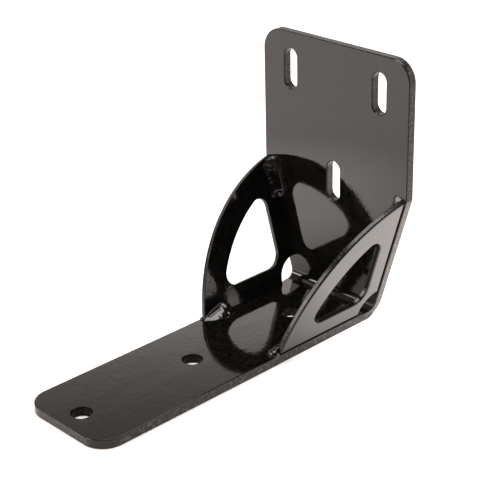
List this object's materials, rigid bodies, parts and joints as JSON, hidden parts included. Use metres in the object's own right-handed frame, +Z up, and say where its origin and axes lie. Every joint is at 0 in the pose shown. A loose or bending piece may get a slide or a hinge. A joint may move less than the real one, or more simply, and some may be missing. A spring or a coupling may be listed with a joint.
{
  "type": "awning bracket",
  "caption": "Welded steel awning bracket: a flat drilled arm bent up into a wider slotted upright, with leaning side gussets that have windows.",
  "frame": {"origin": "middle of the bracket's footprint, on the underside of the arm: halfway between the upright's back face and the arm's tip, and halfway across the arm", "axes": "+Y from the arm's tip to the upright, along the arm; +Z up the upright; +X across the bracket, to the right seen from the arm's tip"},
  "size_m": [0.1, 0.19, 0.145],
  "materials": {
    "plate_coat": "gloss black powder coat with light orange peel over steel plate",
    "weld_coat": "the same gloss black powder coat over lumpy weld metal"
  },
  "bodies": {
    "root": {"bent_plate": "plate_coat", "gusset_left": "plate_coat", "gusset_right": "plate_coat", "weld_left_front": "weld_coat", "weld_left_top": "weld_coat", "weld_right_front": "weld_coat", "weld_right_top": "weld_coat"}
  },
  "joints": []
}
